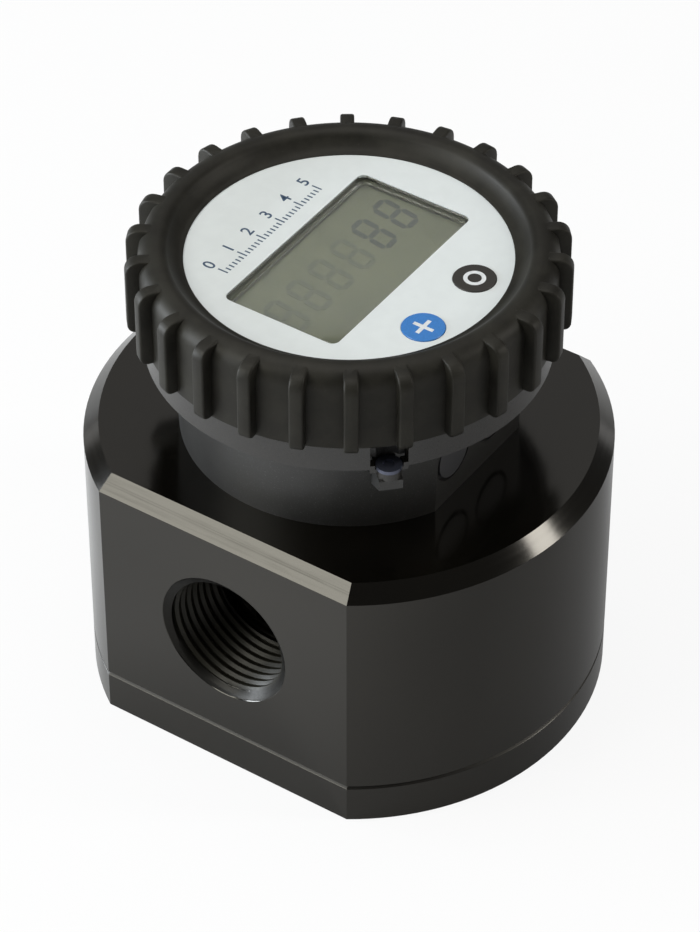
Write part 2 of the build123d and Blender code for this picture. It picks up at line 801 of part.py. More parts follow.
with BuildPart() as boot:
    with BuildSketch(Plane.XZ):
        with BuildLine():
            Polyline(
                (sleeve_radius, band_top),
                (boot_radius, band_top),
                (boot_radius, crown_top - boot_shoulder),
                (boot_radius - shoulder_facet, crown_top - shoulder_facet),
                (crown_radius, crown_top),
            )
            Spline(
                (crown_radius, crown_top),
                ((crown_radius + lip_radius) / 2, crown_top - crown_fall),
                (lip_radius, plate_level + boot_lip_thickness),
                tangents=[(-1, 0), (-0.5, -1)],
            )
            Polyline(
                (lip_radius, plate_level + boot_lip_thickness),
                (lip_radius, plate_level),
                (sleeve_radius, plate_level),
                (sleeve_radius, band_top),
            )
        make_face()
    revolve(axis=Axis.Z)
    for angle in fin_angles:
        with BuildSketch(radial_plane(angle)):
            with BuildLine():
                FilletPolyline(
                    (fin_root, band_top + fin_foot),
                    (fin_reach, band_top + fin_foot),
                    (fin_reach, crown_top - fin_round / 2),
                    (crown_radius, crown_top - fin_sink),
                    radius=fin_round,
                )
                Polyline(
                    (crown_radius, crown_top - fin_sink),
                    (crown_radius, plate_level + boot_lip_thickness),
                    (fin_root, plate_level + boot_lip_thickness),
                    (fin_root, band_top + fin_foot),
                )
            make_face()
        extrude(amount=fin_width / 2, both=True)
write(boot, "boot")

# Face plate, lens and display
with BuildPart() as face_plate:
    with BuildSketch(Plane.XY.offset(plate_floor)):
        Circle(plate_radius)
        window_outline(window_length, window_width, window_round, Mode.SUBTRACT)
        with Locations(*button_points):
            Circle(button_diameter / 2 + button_clearance, mode=Mode.SUBTRACT)
    extrude(amount=plate_thickness)
write(face_plate, "face_plate")

lens_floor = plate_floor - lens_thickness
with BuildPart() as display_lens:
    with BuildSketch(Plane.XY.offset(lens_floor)):
        window_outline(lens_length, lens_width, window_round)
    extrude(amount=lens_thickness)
    with BuildSketch(Plane.XY.offset(plate_floor)):
        window_outline(window_length - 2 * lens_play, window_width - 2 * lens_play, window_round)
    extrude(amount=plate_thickness - lens_sink)
write(display_lens, "display_lens")

with BuildPart() as lens_seal:
    with BuildSketch(Plane.XY.offset(deck_floor)):
        window_outline(lens_length, lens_width, window_round)
        inner = (lens_length - 2 * lens_seal_width, lens_width - 2 * lens_seal_width)
        window_outline(inner[0], inner[1], lens_seal_round, Mode.SUBTRACT)
    extrude(amount=lens_floor - deck_floor)
write(lens_seal, "lens_seal")

with BuildPart() as lcd_panel:
    with BuildSketch(Plane.XY.offset(display_floor)):
        with Locations(window_place):
            Rectangle(display_length, display_width)
    extrude(amount=display_thickness)
write(lcd_panel, "lcd_panel")

frame_rim = frame_clearance + frame_wall
with BuildPart() as lcd_frame:
    with BuildSketch(Plane.XY.offset(board_top)):
        with Locations(window_place):
            Rectangle(display_length + 2 * frame_rim, display_width + 2 * frame_rim)
            Rectangle(
                display_length + 2 * frame_clearance, display_width + 2 * frame_clearance, mode=Mode.SUBTRACT
            )
    extrude(amount=frame_depth)
write(lcd_frame, "lcd_frame")

with BuildPart() as contact_strips:
    with BuildSketch(Plane.XY.offset(board_top)):
        with Locations(window_place):
            with GridLocations(0, display_width - 2 * strip_width, 1, 2):
                Rectangle(window_length, strip_width)
    extrude(amount=board_gap)
write(contact_strips, "contact_strips")

# Circuit board with its screws, chips, terminals and key switches
with BuildPart() as circuit_board:
    with BuildSketch(Plane.XY.offset(board_floor)):
        Circle(board_radius)
        with Locations(*post_places):
            Circle(board_screw_diameter / 2 + hole_clearance, mode=Mode.SUBTRACT)
    extrude(amount=board_thickness)
write(circuit_board, "circuit_board")

with BuildPart() as board_screws:
    for place in post_places:
        with BuildSketch(upward(place, board_top)):
            Circle(board_screw_head_diameter / 2)
        extrude(amount=board_screw_head_height)
        with BuildSketch(upward(place, board_top)):
            Circle(board_screw_diameter / 2)
        extrude(amount=-board_screw_length)
write(board_screws, "board_screws")

with BuildPart() as board_chips:
    for place, (length, width, height) in chip_sizes:
        with BuildSketch(downward(place, board_floor)):
            Rectangle(length, width)
        extrude(amount=height)
write(board_chips, "board_chips")

terminal_place = (0, base_radius - terminal_inset)
with BuildPart() as terminal_block:
    with BuildSketch(upward(terminal_place, board_floor)):
        Rectangle(terminal_length, terminal_width)
    extrude(amount=-terminal_height)
    with BuildSketch(upward(terminal_place, board_floor - terminal_height)):
        with GridLocations(terminal_length / terminal_count, 0, terminal_count, 1):
            Circle(terminal_hole_diameter / 2)
    extrude(amount=terminal_hole_depth, mode=Mode.SUBTRACT)
write(terminal_block, "terminal_block")

button_floor = deck_floor - button_play - button_flange_thickness
switch_top = button_floor - button_travel - switch_play
with BuildPart() as key_switches:
    with BuildSketch(Plane.XY.offset(board_top)):
        with Locations(*button_points):
            Rectangle(switch_size, switch_size)
    extrude(amount=switch_top - switch_plunger_height - board_top)
    with BuildSketch(Plane.XY.offset(switch_top - switch_plunger_height)):
        with Locations(*button_points):
            Circle(switch_plunger_diameter / 2)
    extrude(amount=switch_plunger_height)
write(key_switches, "key_switches")

# Buttons: cap through the deck and face plate, and the flange that holds it in over the switch
for place, name in zip(button_points, ("program_button", "select_button")):
    with BuildPart() as button:
        with BuildSketch(upward(place, button_floor)):
            Circle(button_diameter / 2 + button_flange)
        extrude(amount=button_flange_thickness)
        with BuildSketch(upward(place, deck_floor - button_play)):
            Circle(button_diameter / 2)
        extrude(amount=plate_level + button_proud - deck_floor + button_play)
        chamfer(button.faces().sort_by(Axis.Z)[-1].edges(), button_proud / 2)
    write(button, name)

# Battery holder on the base posts, with two cells and their contacts
cell_lines = [Plane(origin=(s * cell_spacing / 2, 0, cell_level), z_dir=(0, 1, 0)) for s in (-1, 1)]

with BuildPart() as battery_holder:
    with BuildSketch(Plane.XY.offset(holder_floor)):
        Rectangle(holder_width, holder_length)
        Rectangle(cell_gap, holder_length - 2 * holder_bridge, mode=Mode.SUBTRACT)
    extrude(amount=holder_height)
    for line in cell_lines:
        with BuildSketch(line):
            Circle(cell_diameter / 2 + cell_clearance)
        extrude(amount=cell_length / 2 + contact_thickness, both=True, mode=Mode.SUBTRACT)
write(battery_holder, "battery_holder")

with BuildPart() as battery_cells:
    for line in cell_lines:
        with BuildSketch(line):
            Circle(cell_diameter / 2)
        extrude(amount=cell_length / 2, both=True)
write(battery_cells, "battery_cells")

with BuildPart() as battery_contacts:
    for line in cell_lines:
        for level in (-cell_length / 2 - contact_thickness, cell_length / 2):
            with BuildSketch(line.offset(level)):
                Rectangle(contact_width, contact_width)
            extrude(amount=contact_thickness)
write(battery_contacts, "battery_contacts")
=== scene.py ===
import bpy
from math import cos, pi, radians, sin
from mathutils import Matrix, Vector
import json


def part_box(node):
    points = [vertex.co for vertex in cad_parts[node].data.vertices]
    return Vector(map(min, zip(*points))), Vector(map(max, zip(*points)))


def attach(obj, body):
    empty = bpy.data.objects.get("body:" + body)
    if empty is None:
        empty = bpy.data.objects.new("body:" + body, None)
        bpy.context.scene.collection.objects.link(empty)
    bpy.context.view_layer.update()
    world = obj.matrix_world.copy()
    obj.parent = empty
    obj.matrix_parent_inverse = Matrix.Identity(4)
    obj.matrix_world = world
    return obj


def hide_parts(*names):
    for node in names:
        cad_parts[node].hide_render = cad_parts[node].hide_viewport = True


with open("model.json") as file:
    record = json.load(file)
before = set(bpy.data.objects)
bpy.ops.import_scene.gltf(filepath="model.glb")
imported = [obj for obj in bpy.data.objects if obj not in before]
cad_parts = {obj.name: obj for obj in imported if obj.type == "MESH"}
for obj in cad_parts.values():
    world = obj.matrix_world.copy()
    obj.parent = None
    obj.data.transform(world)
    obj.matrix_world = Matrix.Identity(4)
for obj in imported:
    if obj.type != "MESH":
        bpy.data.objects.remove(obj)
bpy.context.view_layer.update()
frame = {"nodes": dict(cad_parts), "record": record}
nodes = frame["nodes"]
mm = 0.001
print("frame loaded:", len(nodes), "nodes")

# Camera, as in the photograph
camera = {
    "azimuth": -55.9,  # degrees, 0 looks along +Y
    "elevation": 41.61,
    "distance": 0.9359,
    "focal": 4071.7,  # in pixels of the photograph
    "size": (700, 932),
    "aim": (0, 0, 0.042),
    "aimPixel": (349.1, 504.1),  # where that point lies in the photograph
}


def addCamera(c):
    width, height = c["size"]
    az, el = radians(c["azimuth"]), radians(c["elevation"])
    back = Vector((sin(az) * cos(el), -cos(az) * cos(el), sin(el)))
    bpy.ops.object.camera_add(location=Vector(c["aim"]) + back * c["distance"])
    cam = bpy.context.object
    cam.rotation_mode = "QUATERNION"
    cam.rotation_quaternion = (-back).to_track_quat("-Z", "Y")
    cam.data.sensor_fit = "HORIZONTAL"
    cam.data.sensor_width = 36
    cam.data.lens = c["focal"] * 36 / width
    cam.data.shift_x = (width / 2 - c["aimPixel"][0]) / width
    cam.data.shift_y = (c["aimPixel"][1] - height / 2) / width
    cam.data.clip_start, cam.data.clip_end = 0.05, 20
    bpy.context.scene.camera = cam


addCamera(camera)
bpy.context.scene.view_settings.view_transform = "Standard"
print("camera placed")

# Softboxes: direction and distance from the aim point, size, power and colour
lamps = {
    "topBox": {"towards": (0.05, 0.1, 1.0), "away": 1.1, "size": (0.8, 0.8), "power": 4.8, "colour": (1, 1, 1)},
    "leftBox": {
        "towards": (-0.66, 0.42, 0.62), "away": 1.2, "size": (0.66, 0.5), "power": 6.8, "colour": (0.99, 1, 0.95)
    },
    "rightBox": {
        "towards": (0.42, -0.77, 0.49), "away": 1.2, "size": (0.2, 0.5), "power": 4.2, "colour": (1, 0.99, 0.96)
    },
    "backBox": {
        "towards": (-0.5, 0.85, 0.14), "away": 1.2, "size": (0.8, 0.3), "power": 19, "colour": (0.84, 0.91, 1)
    },
}


def addLamps(lamps, aim):
    for name, lamp in lamps.items():
        towards = Vector(lamp["towards"]).normalized()
        bpy.ops.object.light_add(type="AREA", location=Vector(aim) + towards * lamp["away"])
        light = bpy.context.object
        light.name = name
        light.rotation_euler = (-towards).to_track_quat("-Z", "Y").to_euler()
        light.data.shape = "RECTANGLE"
        light.data.size, light.data.size_y = lamp["size"]
        light.data.energy = lamp["power"]
        light.data.color = lamp["colour"]


addLamps(lamps, (0, 0, 0.06))
print("lamps placed")


# Shader maths: an expression on values adds its Math nodes
class Val:
    def __init__(self, mat, socket):
        self.mat, self.socket = mat, socket

    def op(self, kind, a, b=None):
        ins = {0: a} if b is None else {0: a, 1: b}
        return self.mat.node("Math", {"operation": kind}, ins)[0]

    def __add__(self, b):
        return self.op("ADD", self, b)

    def __radd__(self, b):
        return self.op("ADD", b, self)

    def __sub__(self, b):
        return self.op("SUBTRACT", self, b)

    def __rsub__(self, b):
        return self.op("SUBTRACT", b, self)

    def __mul__(self, b):
        return self.op("MULTIPLY", self, b)

    def __rmul__(self, b):
        return self.op("MULTIPLY", b, self)

    def above(self, b):
        return self.op("GREATER_THAN", self, b)

    def below(self, b):
        return self.op("LESS_THAN", self, b)

    def abs(self):
        return self.op("ABSOLUTE", self)

    def most(self, b):
        return self.op("MINIMUM", self, b)

    def least(self, b):
        return self.op("MAXIMUM", self, b)

    def power(self, b):
        return self.op("POWER", self, b)

    def step(self, low, high):
        return self.mat.node(
            "MapRange", {"interpolation_type": "SMOOTHSTEP"}, {0: self, 1: low, 2: high}
        )[0]


class Mat:
    def __init__(self, name, colour=(0.5, 0.5, 0.5), rough=0.5, **sockets):
        self.data = bpy.data.materials.new(name)
        self.data.use_nodes = True
        self.tree = self.data.node_tree
        self.bsdf = self.tree.nodes["Principled BSDF"]
        self.out = self.tree.nodes["Material Output"]
        self.put("Base Color", colour)
        self.put("Roughness", rough)
        for socket, value in sockets.items():
            self.put(socket.replace("_", " "), value)

    def link(self, socket, value):
        if isinstance(value, Val):
            self.tree.links.new(value.socket, socket)
        elif isinstance(value, (tuple, list, Vector)) and len(value) == 3 and socket.type == "RGBA":
            socket.default_value = (*value, 1)
        else:
            socket.default_value = value

    def put(self, name, value):
        self.link(self.bsdf.inputs[name], value)

    def node(self, kind, settings=None, inputs=None):
        n = self.tree.nodes.new("ShaderNode" + kind)
        for key, value in (settings or {}).items():
            if key == "stops":
                ramp = n.color_ramp
                while len(ramp.elements) < len(value):
                    ramp.elements.new(0.5)
                for element, (place, colour) in zip(ramp.elements, value):
                    element.position, element.color = place, (*colour, 1)
            else:
                setattr(n, key, value)
        for key, value in (inputs or {}).items():
            self.link(n.inputs[key], value)
        return [Val(self, s) for s in n.outputs]

    def place(self, scale=(1, 1, 1), turn=(0, 0, 0), shift=(0, 0, 0)):
        here = self.node("TexCoord")[3]
        ins = {"Vector": here, "Scale": scale, "Rotation": turn, "Location": shift}
        return self.node("Mapping", None, ins)[0]

    def xyz(self, vector=None):
        return self.node("SeparateXYZ", None, {0: vector or self.place()})

    def noise(self, scale, detail=2, rough=0.5, vector=None):
        ins = {"Vector": vector or self.place(), "Scale": scale, "Detail": detail, "Roughness": rough}
        return self.node("TexNoise", None, ins)[0]

    def mix(self, factor, a, b):
        n = self.tree.nodes.new("ShaderNodeMix")
        n.data_type = "RGBA"
        self.link(n.inputs[0], factor)
        self.link(n.inputs[6], a)
        self.link(n.inputs[7], b)
        return Val(self, n.outputs[2])

    def bump(self, height, distance, strength=1.0):
        ins = {"Height": height, "Distance": distance, "Strength": strength}
        self.put("Normal", self.node("Bump", None, ins)[0])


def dress(names, mat):
    for name in names:
        mesh = nodes[name].data
        mesh.materials.clear()
        mesh.materials.append(mat.data)


# Floor and surroundings
floor = {
    "size": 6.0,
    "white": 0.85,
    "glow": 0.9,
    "mirrored": 0.25,
    "paintedShade": {"at": (0.03, -0.10), "reach": (0.05, 0.18), "depth": 0.6},  # painted shadow in the floor's reflections, on the side away from the leftBox
    # painted contact shadow in the floor's reflections, in a ring round the foot
    "paintedContactShadow": {"reach": (0.05, 0.09), "depth": 0.3},
}
sky = {
    "fill": 0.10,
    "horizon": (0.02, 0.08),  # sine of the heights between which white turns to dark
    "dark": 0.06,
    "glowTowards": (0.619, 0.419, 0.664),
    "glowFrom": 0.80,
    "glow": 0.45,
}


def addFloor(f):
    bpy.ops.mesh.primitive_plane_add(size=f["size"], location=(0, 0, -0.0001))
    plane = bpy.context.object
    plane.name = "studioFloor"
    m = Mat("floorWhite", (f["white"],) * 3, 0.9, Specular_IOR_Level=0.1)
    ray = m.node("LightPath")
    seen = (ray[0] * f["glow"]).least(ray[3].least(ray[6]) * f["mirrored"])
    glow = m.node("Emission", None, {"Color": (1, 1, 1, 1), "Strength": 1.0})[0]
    # painted shadow: for glossy rays the floor turns towards this grey in a spot away from the leftBox and in a ring
    # round the foot
    paintedShadowGrey = m.node("Emission", None, {"Color": (0.1, 0.1, 0.1, 1), "Strength": 1.0})[0]
    x, y, z = m.xyz()
    shadeX, shadeY = x - f["paintedShade"]["at"][0], y - f["paintedShade"]["at"][1]
    paintedShade = 1 - (shadeX * shadeX + shadeY * shadeY).power(0.5).step(*f["paintedShade"]["reach"])
    paintedContactShadow = 1 - (x * x + y * y).power(0.5).step(*f["paintedContactShadow"]["reach"])
    dark = (paintedShade * f["paintedShade"]["depth"]).least(paintedContactShadow * f["paintedContactShadow"]["depth"])
    shaded = Val(m, m.bsdf.outputs[0])
    both = m.node("MixShader", None, {0: seen, 1: shaded, 2: glow})[0]
    m.link(m.out.inputs[0], m.node("MixShader", None, {0: dark * ray[3], 1: both, 2: paintedShadowGrey})[0])
    plane.data.materials.append(m.data)


def addWorld(w):
    world = bpy.data.worlds.new("studio")
    bpy.context.scene.world = world
    world.use_nodes = True
    m = Mat.__new__(Mat)
    m.tree = world.node_tree
    back = m.tree.nodes["Background"]
    ray = m.node("LightPath")
    towards = m.node("TexCoord")[0]
    height = m.xyz(towards)[2]
    facing = m.node("VectorMath", {"operation": "DOT_PRODUCT"}, {0: towards, 1: w["glowTowards"]})[1]
    soft = facing.step(w["glowFrom"], 1.0) * w["glow"] + w["dark"]
    mirrored = ray[3] * soft.least(1 - height.step(*w["horizon"]))
    m.link(back.inputs["Color"], (1, 1, 1))
    m.link(back.inputs["Strength"], ray[0].least(ray[6]).least(mirrored).least(w["fill"]))


addFloor(floor)
addWorld(sky)
print("floor and surroundings set")


def clearSelection():
    bpy.ops.object.select_all(action="DESELECT")


def finishPiece(piece, name, body, mat, smooth=35):
    piece.name = name
    piece.data.name = name
    piece.data.materials.clear()
    piece.data.materials.append(mat.data)
    clearSelection()
    piece.select_set(True)
    bpy.context.view_layer.objects.active = piece
    bpy.ops.object.transform_apply(location=True, rotation=True, scale=True)
    if smooth:
        bpy.ops.object.shade_smooth_by_angle(angle=radians(smooth))
    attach(piece, body)
    return piece


def outlineLoop(name, points):
    # a closed flat outline, drawn point by point from one vertex
    clearSelection()
    bpy.ops.mesh.primitive_plane_add(size=0.001, location=(0, 0, 0))
    piece = bpy.context.object
    piece.name = name
    bpy.ops.object.mode_set(mode="EDIT")
    bpy.ops.mesh.merge(type="CENTER")
    points = [Vector(p) for p in points]
    bpy.ops.transform.translate(value=points[0])
    for before, after in zip(points, points[1:]):
        bpy.ops.mesh.extrude_region_move(TRANSFORM_OT_translate={"value": after - before})
    bpy.ops.mesh.select_all(action="SELECT")
    bpy.ops.mesh.edge_face_add()
    bpy.ops.object.mode_set(mode="OBJECT")
    return piece


def thicken(piece, by):
    bpy.ops.object.mode_set(mode="EDIT")
    bpy.ops.mesh.select_all(action="SELECT")
    bpy.ops.mesh.extrude_region_move(TRANSFORM_OT_translate={"value": by})
    bpy.ops.mesh.select_all(action="SELECT")
    bpy.ops.mesh.normals_make_consistent(inside=False)
    bpy.ops.object.mode_set(mode="OBJECT")


def spinRound(piece, steps):
    bpy.ops.object.mode_set(mode="EDIT")
    bpy.ops.mesh.select_all(action="SELECT")
    bpy.ops.mesh.delete(type="ONLY_FACE")
    bpy.ops.mesh.select_all(action="SELECT")
    bpy.ops.mesh.spin(steps=steps, angle=2 * pi, center=(0, 0, 0), axis=(0, 0, 1))
    bpy.ops.mesh.select_all(action="SELECT")
    bpy.ops.mesh.remove_doubles(threshold=1e-6)
    bpy.ops.mesh.normals_make_consistent(inside=False)
    bpy.ops.object.mode_set(mode="OBJECT")


def joinAll(pieces):
    clearSelection()
    for piece in pieces:
        piece.select_set(True)
    bpy.context.view_layer.objects.active = pieces[0]
    bpy.ops.object.join()
    return pieces[0]


def arc(centre, radius, start, end, steps):
    turns = [radians(start + (end - start) * i / steps) for i in range(steps + 1)]
    return [(centre[0] + radius * cos(t), centre[1] + radius * sin(t)) for t in turns]


# Rubber boot: a ring with a rolled crown, and the fins joined to it
boot = {
    "wallRadius": 46.2,
    "innerRadius": 44.3,
    "bottom": 98.45,
    "bottomEdge": 0.35,
    "wallMiddle": 106,
    "crownTop": 118.66,
    "crownRound": 4.4,
    "valleyRound": 2.6,
    "valleyTurn": (100, 158),
    "lipRadius": 36.2,
    "lipSlope": ((2.0, 115.9), (1.2, 115.3), (0.6, 115.12), (0.15, 115.05), (0, 114.95)),  # past the lip, height
    "plateTop": 114.73,
    "spinSteps": 182,
    "finCount": 26,
    "finReach": 49.12,
    "finWidth": 3.2,
    "finBottom": 98.95,
    "finTop": 118.3,
    "finTopRound": 3.2,
    "finFootRound": 1.8,
    "finRoot": 45.3,
    "finHeel": 43.0,  # where the fin's foot ends inside the crown
    "finUnder": 115.3,
    "finEdge": 0.5,
}


def bootRing(b):
    crownRadius = b["wallRadius"] - b["crownRound"]
    crownCentre = (crownRadius, b["crownTop"] - b["crownRound"])
    valleyCentre = (crownRadius, b["crownTop"] - b["valleyRound"])
    lip = b["lipRadius"]
    edge = b["bottomEdge"]
    outline = [(b["innerRadius"], b["bottom"]), (b["wallRadius"] - edge, b["bottom"])]
    outline += [(b["wallRadius"], b["bottom"] + edge), (b["wallRadius"], b["wallMiddle"])]
    outline += arc(crownCentre, b["crownRound"], 0, 90, 9)
    outline += arc(valleyCentre, b["valleyRound"], *b["valleyTurn"], 5)
    outline += [(lip + past, height) for past, height in b["lipSlope"]]
    outline += [(lip, b["plateTop"]), (b["innerRadius"], b["plateTop"])]
    ring = outlineLoop("boot", [(r * mm, 0, z * mm) for r, z in outline])
    spinRound(ring, b["spinSteps"])
    return ring


def bootFin(b):
    low, high, reach = b["finBottom"], b["finTop"], b["finReach"]
    foot, top = b["finFootRound"], b["finTopRound"]
    rootAt, heel, under = b["finRoot"], b["finHeel"], b["finUnder"]
    outline = [(rootAt, low)]
    outline += arc((reach - foot, low + foot), foot, -90, 0, 4)
    outline += arc((reach - top, high - top), top, 0, 90, 6)
    outline += [(heel, high), (heel, under), (rootAt, under)]
    wide = b["finWidth"] * mm
    fin = outlineLoop("fin", [(r * mm, -wide / 2, z * mm) for r, z in outline])
    thicken(fin, (0, wide, 0))
    for edge in fin.data.edges:
        ends = [fin.data.vertices[i].co for i in edge.vertices]
        sameSide = abs(ends[0].y - ends[1].y) < 1e-6
        outside = min(e.x for e in ends) > (heel + 0.1) * mm and max(e.x for e in ends) > (rootAt + 0.1) * mm
        edge.select = sameSide and outside
    bpy.ops.object.mode_set(mode="EDIT")
    bpy.ops.mesh.bevel(offset=b["finEdge"] * mm, segments=3, affect="EDGES")
    bpy.ops.object.mode_set(mode="OBJECT")
    return fin


def addBoot(b, mat):
    ring = bootRing(b)
    fin = bootFin(b)
    fins = [fin]
    for i in range(1, b["finCount"]):
        copy = fin.copy()
        copy.data = fin.data.copy()
        bpy.context.collection.objects.link(copy)
        fins.append(copy)
    for i, piece in enumerate(fins):
        piece.data.transform(Matrix.Rotation(radians(90) + 2 * pi * i / b["finCount"], 4, "Z"))
    joinAll(fins)
    clearSelection()
    ring.select_set(True)
    bpy.context.view_layer.objects.active = ring
    union = ring.modifiers.new("fins", "BOOLEAN")
    union.operation = "UNION"
    union.solver = "EXACT"
    union.object = fin
    bpy.ops.object.modifier_apply(modifier=union.name)
    bpy.data.objects.remove(fin)
    finishPiece(ring, "bootRubber", "root", mat, 40)
    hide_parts("boot")
    return ring


# Port threads: a thin helical skin inside each bore
thread = {
    "pitch": 2.309,
    "rootRadius": 15.1,
    "depth": 0.62,
    "ridge": ((0.0, 0), (0.12, 0), (0.42, 1), (0.58, 1), (0.88, 0), (1.0, 0)),  # along one pitch, share of depth
    "mouth": 49.9,
    "coneStart": 48.345,
    "coneLength": 1.655,
    "coneFade": 0.97,
    "inner": 31.1,
    "leadIn": 0.35,
    "spread": 0.03,  # of the run-outs, past the root
    "steps": 72,
}


def addThread(t, side, height, mat):
    pitch, root = t["pitch"] * mm, t["rootRadius"] * mm
    start = (t["inner"] - 2 * t["pitch"]) * mm
    turns = int((t["mouth"] - t["inner"]) / t["pitch"]) + 4
    profile = [(start + u * pitch, 0, root - share * t["depth"] * mm) for u, share in t["ridge"]]
    skin = outlineLoop("portThread", profile)
    bpy.ops.object.mode_set(mode="EDIT")
    bpy.ops.mesh.select_all(action="SELECT")
    bpy.ops.mesh.delete(type="ONLY_FACE")
    bpy.ops.mesh.select_mode(type="EDGE")
    bpy.ops.mesh.select_all(action="DESELECT")
    bpy.ops.object.mode_set(mode="OBJECT")
    for edge in skin.data.edges:
        ends = [skin.data.vertices[i].co.x for i in edge.vertices]
        edge.select = abs(ends[1] - ends[0]) > 0.9 * pitch  # the edge that closed the outline
    bpy.ops.object.mode_set(mode="EDIT")
    bpy.ops.mesh.delete(type="EDGE")
    bpy.ops.mesh.select_mode(type="VERT")
    bpy.ops.object.mode_set(mode="OBJECT")
    screw = skin.modifiers.new("helix", "SCREW")
    screw.axis = "X"
    screw.screw_offset = pitch
    screw.iterations = turns
    screw.steps = screw.render_steps = t["steps"]
    screw.use_merge_vertices = True
    screw.merge_threshold = 1e-6
    bpy.ops.object.modifier_apply(modifier=screw.name)
    for place, outward in ((t["mouth"] - t["leadIn"], 1), (t["inner"] + t["leadIn"], -1)):
        bpy.ops.object.mode_set(mode="EDIT")
        bpy.ops.mesh.select_all(action="SELECT")
        bpy.ops.mesh.remove_doubles(threshold=1e-6)
        bpy.ops.mesh.select_all(action="SELECT")
        bpy.ops.mesh.bisect(plane_co=(place * mm, 0, 0), plane_no=(outward, 0, 0), clear_outer=True)
        bpy.ops.mesh.extrude_region_move(
            TRANSFORM_OT_translate={"value": (outward * t["leadIn"] * mm, 0, 0)}
        )
        bpy.ops.object.mode_set(mode="OBJECT")
        for v in skin.data.vertices:
            if v.select:
                away = Vector((0, v.co.y, v.co.z))
                away *= (root + t["spread"] * mm) / away.length
                v.co = (v.co.x, away.y, away.z)
    for v in skin.data.vertices:
        along = v.co.x - t["coneStart"] * mm
        if along > 0:
            away = Vector((0, v.co.y, v.co.z))
            ridge = (root - away.length) * (1 - t["coneFade"] * along / (t["coneLength"] * mm))
            away *= (root + along - ridge) / away.length
            v.co = (v.co.x, away.y, away.z)
    bpy.ops.object.mode_set(mode="EDIT")
    bpy.ops.mesh.select_all(action="SELECT")
    bpy.ops.mesh.normals_make_consistent(inside=True)
    bpy.ops.object.mode_set(mode="OBJECT")
    turn = Matrix.Rotation(pi, 4, "Z") if side < 0 else Matrix.Identity(4)
    skin.data.transform(Matrix.Translation((0, 0, height)) @ turn)
    name = "inletThread" if side < 0 else "outletThread"
    return finishPiece(skin, name, "root", mat, 30)


# Materials
anodising = {
    "tint": (1.0, 0.95, 0.86),
    "dark": (0.0014, 0.0012, 0.0008),
    "pale": (0.0032, 0.0027, 0.0018),
    "flatFrom": 46.95,  # of the milled flats and their chamfers
    "flatHalf": 33.3,
    "joint": 10.2,
    "chamferFoot": 66.6,
    "toolLines": (1.05, 1.4),  # fine lines left along the chamfer, above its foot
    "lineHalf": 0.1,
}


def anodised(a):
    m = Mat("blackAnodised", a["dark"], 0.18, Specular_IOR_Level=0.55, Specular_Tint=(*a["tint"], 1))
    x, y, z = m.xyz(m.place(scale=(1000, 1000, 1000)))
    radius = (x * x + y * y).power(0.5)
    turned = m.noise(0.9, 3, 0.6, m.node("CombineXYZ", None, {0: radius, 1: z})[0])
    milled = m.noise(1.6, 3, 0.65, m.node("CombineXYZ", None, {0: x.abs() + z, 1: y * 0.03, 2: z})[0])
    onFlat = x.abs().above(a["flatFrom"]) * y.abs().below(a["flatHalf"])
    streak = turned * (1 - onFlat) + milled * onFlat
    cloud = m.noise(22, 3, 0.55)
    burr = 1 - (z - a["joint"]).abs().step(0.3, 0.6)
    rise = z - a["chamferFoot"]
    lines = 0
    for height in a["toolLines"]:
        lines = (1 - (rise - height).abs().step(0.0, a["lineHalf"])).least(lines)
    lines = lines * onFlat
    m.put("Base Color", m.mix(cloud.step(0.3, 0.7), a["dark"], a["pale"]))
    m.put("Metallic", (lines * 0.3 + milled.step(0.45, 0.75) * rise.above(0) * onFlat * 0.2).most(1))
    m.put("Roughness", 0.07 + streak * 0.08 + cloud * 0.05 + burr * 0.4)
    m.bump(streak, 0.000012, 0.3)
    return m


def rubber():
    m = Mat("bootRubber", (0.009, 0.0085, 0.0065), 0.5, Specular_IOR_Level=0.25, Specular_Tint=(1, 0.96, 0.88, 1))
    fine = m.noise(4200, 2, 0.5)
    patch = m.noise(130, 4, 0.6)
    dust = m.noise(1500, 3, 0.7).step(0.66, 0.8)
    base = m.mix(patch.step(0.35, 0.7), (0.010, 0.0093, 0.0072), (0.019, 0.018, 0.014))
    m.put("Base Color", m.mix(dust * 0.35, base, (0.10, 0.095, 0.085)))
    m.put("Roughness", 0.42 + patch * 0.18)
    m.bump(fine * 0.6 + patch * 3, 0.00005, 0.45)
    return m


def moulding(name, dark, pale, speck, rough=0.5):
    m = Mat(name, dark, rough, Specular_IOR_Level=0.7)
    grain = m.noise(3600, 2, 0.6)
    broad = m.noise(140, 3, 0.5)
    flecks = grain.step(0.58, 0.75)
    m.put("Base Color", m.mix(flecks * 0.7, m.mix(broad, dark, pale), speck))
    m.put("Roughness", rough - 0.08 + grain * 0.16)
    m.bump(grain, 0.00005, 0.5)
    return m


def steel(name, tint, rough):
    m = Mat(name, tint, rough, Metallic=1.0)
    x, y, z = m.xyz()
    grind = m.noise(2600, 2, 0.6, m.node("CombineXYZ", None, {0: x, 1: y, 2: z * 0.05})[0])
    m.put("Roughness", rough - 0.06 + grind * 0.14)
    m.put("Base Color", m.mix(grind * 0.5, tint, tuple(0.75 * c for c in tint)))
    m.bump(grind, 0.00001, 0.3)
    return m


def plain(name, colour, rough, scale=2500, depth=0.00001, contrast=0.14, **sockets):
    m = Mat(name, colour, rough, **sockets)
    grain = m.noise(scale, 3, 0.55)
    m.put("Base Color", m.mix(grain.step(0.3, 0.7), colour, tuple((1 - contrast) * c for c in colour)))
    m.put("Roughness", rough - 0.05 + grain * 0.1)
    m.bump(grain, depth, 0.4)
    return m


